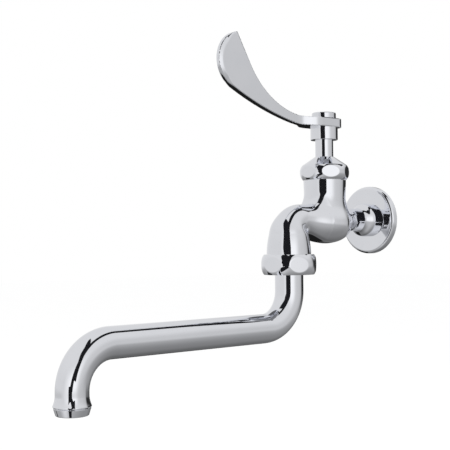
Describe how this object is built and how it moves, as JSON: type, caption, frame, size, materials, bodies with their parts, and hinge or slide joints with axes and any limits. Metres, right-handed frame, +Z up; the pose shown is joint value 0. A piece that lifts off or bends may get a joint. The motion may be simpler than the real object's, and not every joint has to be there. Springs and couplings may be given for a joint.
{
  "type": "wall-mounted tap",
  "caption": "Wall-mounted cold water tap with a wrist-blade lever, a globe-valve body and a long swivel spout bent down at its outlet.",
  "frame": {"origin": "where the inlet thread's axis meets the face of the wall", "axes": "+Y into the wall along the inlet thread, +Z up, spout and lever towards -Y"},
  "size_m": [0.0482, 0.2787, 0.2292],
  "materials": {
    "chrome": "polished chrome plate",
    "brass": "machined",
    "rubber": "moulded",
    "resin": "moulded",
    "steel": "plain stainless"
  },
  "bodies": {
    "tap_body": {"body": "chrome", "wall_flange": "chrome", "cap_nut": "chrome", "packing_washer": "brass", "gland_packing": "rubber", "swivel_nut": "chrome", "u_packing": "rubber", "slip_ring": "resin"},
    "jumper": {"jumper_valve": "brass", "jumper_washer": "rubber", "jumper_nut": "brass"},
    "spindle": {"spindle": "chrome", "lever_handle": "chrome", "handle_screw": "steel", "screw_washer": "steel", "index_cap": "chrome"},
    "spout": {"spout_pipe": "chrome", "retaining_ring": "steel", "outlet_ring": "chrome", "straightener": "resin", "outlet_screen": "steel"}
  },
  "joints": [
    {"name": "valve_lift", "type": "slide", "parent": "tap_body", "child": "jumper", "axis": [0, 0, 1], "range_m": [0, 0.0035]},
    {"name": "spindle_turn", "type": "hinge", "parent": "jumper", "child": "spindle", "pos_m": [0, -0.0485, 0.03], "axis": [0, 0, 1], "range_deg": [0, 90]},
    {"name": "spout_swivel", "type": "hinge", "parent": "tap_body", "child": "spout", "pos_m": [0, -0.0841, -0.03], "axis": [0, 0, 1], "range_deg": [-110, 110]}
  ],
  "couplings": [
    {"joint": "valve_lift", "follows": "spindle_turn", "m_per_rad": 0.002228}
  ]
}
